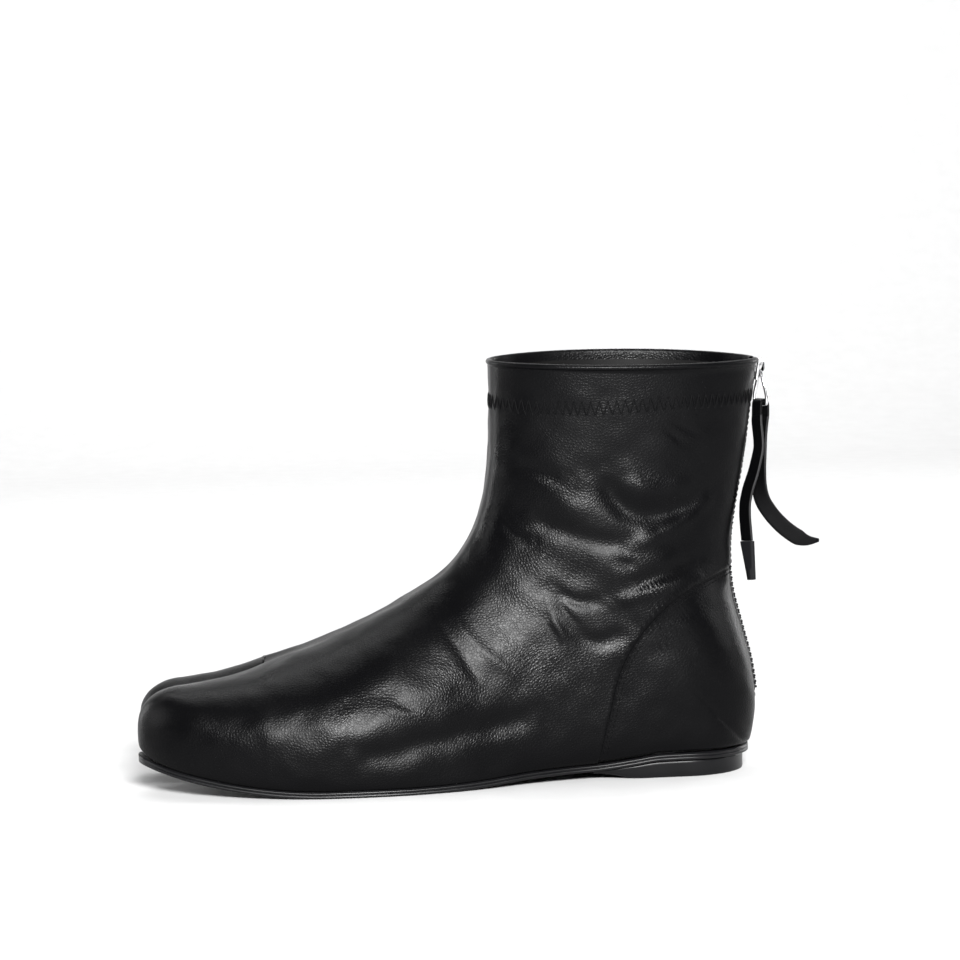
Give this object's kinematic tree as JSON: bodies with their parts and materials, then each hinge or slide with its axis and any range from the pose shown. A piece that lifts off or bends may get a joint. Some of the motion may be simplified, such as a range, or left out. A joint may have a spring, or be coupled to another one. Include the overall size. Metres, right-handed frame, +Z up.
{
  "type": "split-toe ankle boot",
  "caption": "Left split-toe ankle boot of soft leather, hollow and open at the collar, with a thin sole, a low heel, a closed back zip and a leather tie.",
  "frame": {"origin": "on the floor under the middle of the heel, in the boot's middle plane", "axes": "-X towards the toes, +X towards the heel, -Y towards the little toe, +Z up"},
  "size_m": [0.2853, 0.0924, 0.1742],
  "materials": {
    "sole_rubber": "matt, very dark blue-grey",
    "leather": "semi-gloss black, finely pebbled",
    "insole_cloth": "matt black",
    "zip_cloth": "matt black woven tape",
    "zip_teeth": "black, slightly shiny",
    "bright_metal": "polished grey metal",
    "sleeve": "dark grey, matt"
  },
  "bodies": {
    "root": {"outsole": "sole_rubber", "heel": "sole_rubber", "insole": "insole_cloth", "upper": "leather", "zip_tape": "zip_cloth", "zip_teeth": "zip_teeth", "zip_slider": "bright_metal", "pull_loop": "bright_metal", "tie_fold": "leather", "tie_tail_inner": "leather", "tie_tail_outer": "leather", "tie_sleeve": "sleeve"}
  },
  "joints": []
}
